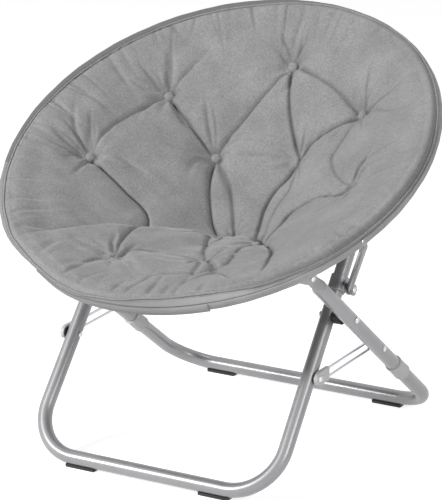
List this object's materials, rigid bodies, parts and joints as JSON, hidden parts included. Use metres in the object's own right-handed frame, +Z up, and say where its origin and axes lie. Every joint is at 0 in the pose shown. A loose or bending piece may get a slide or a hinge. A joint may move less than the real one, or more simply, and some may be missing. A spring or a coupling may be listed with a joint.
{
  "type": "folding saucer chair",
  "caption": "Folding saucer chair: tilted round hoop seat with a tufted velvet cushion on crossed steel tube legs with slide struts and wire braces.",
  "frame": {"origin": "on the floor, under the middle of the chair's outer box", "axes": "+X to the sitter's left hand, across the chair; +Y to the back; +Z up"},
  "size_m": [0.778, 0.68, 0.7273],
  "materials": {
    "painted_steel": "gloss",
    "zinc": "bright",
    "pale_plastic": "satin",
    "black_plastic": "matte",
    "velvet": "pile",
    "rim_cloth": "woven"
  },
  "bodies": {
    "front_frame": {"front_leg_frame": "painted_steel", "front_pad_right": "black_plastic", "pivot_spacer_right": "black_plastic", "pivot_rivet_right": "zinc", "clip_washer_right": "black_plastic", "clip_rivet_right": "zinc", "front_pad_left": "black_plastic", "pivot_spacer_left": "black_plastic", "pivot_rivet_left": "zinc", "clip_washer_left": "black_plastic", "clip_rivet_left": "zinc"},
    "rear_frame": {"rear_base_tube": "painted_steel", "rear_arm_right": "painted_steel", "ferrule_right": "pale_plastic", "brace_pin_right": "zinc", "rear_pad_right": "black_plastic", "rear_arm_left": "painted_steel", "ferrule_left": "pale_plastic", "brace_pin_left": "zinc", "rear_pad_left": "black_plastic"},
    "hoop_front": {"hoop_tube_front": "painted_steel", "rim_cover_front": "rim_cloth", "cushion_front": "velvet", "hinge_rivet_right": "zinc", "front_bracket_right": "painted_steel", "bracket_rivet_right": "zinc", "strut_lug_right": "painted_steel", "hinge_rivet_left": "zinc", "front_bracket_left": "painted_steel", "bracket_rivet_left": "zinc", "strut_lug_left": "painted_steel"},
    "hoop_rear": {"hoop_tube_rear": "painted_steel", "rim_cover_rear": "rim_cloth", "cushion_rear": "velvet", "tuft_button_1": "velvet", "tuft_button_2": "velvet", "tuft_button_3": "velvet", "tuft_button_4": "velvet", "tuft_button_5": "velvet", "rear_bracket_right": "painted_steel", "rear_bracket_left": "painted_steel"},
    "sleeve_right": {"slide_sleeve_right": "painted_steel", "sleeve_rivet_right": "zinc"},
    "strut_right": {"strut_right": "painted_steel"},
    "wire_brace_right": {"wire_brace_right": "zinc", "brace_clip_right": "pale_plastic"},
    "sleeve_left": {"slide_sleeve_left": "painted_steel", "sleeve_rivet_left": "zinc"},
    "strut_left": {"strut_left": "painted_steel"},
    "wire_brace_left": {"wire_brace_left": "zinc", "brace_clip_left": "pale_plastic"}
  },
  "joints": [
    {"name": "leg_fold", "type": "hinge", "parent": "front_frame", "child": "rear_frame", "pos_m": [0, -0.02854, 0.27497], "axis": [1, 0, 0], "range_deg": [-65.7, 0]},
    {"name": "hoop_front_fold", "type": "hinge", "parent": "rear_frame", "child": "hoop_front", "pos_m": [0, -0.17852, 0.38643], "axis": [1, 0, 0], "range_deg": [-80.78, 0]},
    {"name": "hoop_rear_fold", "type": "hinge", "parent": "hoop_front", "child": "hoop_rear", "pos_m": [0, -0.09999, 0.4716], "axis": [1, 0, 0], "range_deg": [0, 170], "deforming": ["rim_cover_front", "rim_cover_rear", "cushion_front", "cushion_rear", "tuft_button_1", "tuft_button_2", "tuft_button_3", "tuft_button_4", "tuft_button_5"]},
    {"name": "sleeve_slide_right", "type": "slide", "parent": "front_frame", "child": "sleeve_right", "axis": [-0.016, 0.6232, 0.7819], "range_m": [0, 0.168]},
    {"name": "strut_swing_right", "type": "hinge", "parent": "sleeve_right", "child": "strut_right", "pos_m": [0, 0.02065, 0.3094], "axis": [1, 0, 0], "range_deg": [0, 65.7]},
    {"name": "brace_swing_right", "type": "hinge", "parent": "front_frame", "child": "wire_brace_right", "pos_m": [0.25, -0.09861, 0.18707], "axis": [1, 0, 0], "range_deg": [-48.65, 0]},
    {"name": "sleeve_slide_left", "type": "slide", "parent": "front_frame", "child": "sleeve_left", "axis": [0.016, 0.6232, 0.7819], "range_m": [0, 0.168]},
    {"name": "strut_swing_left", "type": "hinge", "parent": "sleeve_left", "child": "strut_left", "pos_m": [0, 0.02065, 0.3094], "axis": [1, 0, 0], "range_deg": [0, 65.7]},
    {"name": "brace_swing_left", "type": "hinge", "parent": "front_frame", "child": "wire_brace_left", "pos_m": [-0.25, -0.09861, 0.18707], "axis": [1, 0, 0], "range_deg": [-48.65, 0]}
  ],
  "couplings": [
    {"joint": "hoop_front_fold", "follows": "leg_fold", "ratio": 1.2293},
    {"joint": "hoop_rear_fold", "follows": "leg_fold", "ratio": -2.5874},
    {"joint": "sleeve_slide_right", "follows": "leg_fold", "m_per_rad": -0.1465},
    {"joint": "strut_swing_right", "follows": "leg_fold", "ratio": -1},
    {"joint": "brace_swing_right", "follows": "leg_fold", "ratio": 0.74},
    {"joint": "sleeve_slide_left", "follows": "leg_fold", "m_per_rad": -0.1465},
    {"joint": "strut_swing_left", "follows": "leg_fold", "ratio": -1},
    {"joint": "brace_swing_left", "follows": "leg_fold", "ratio": 0.74}
  ]
}
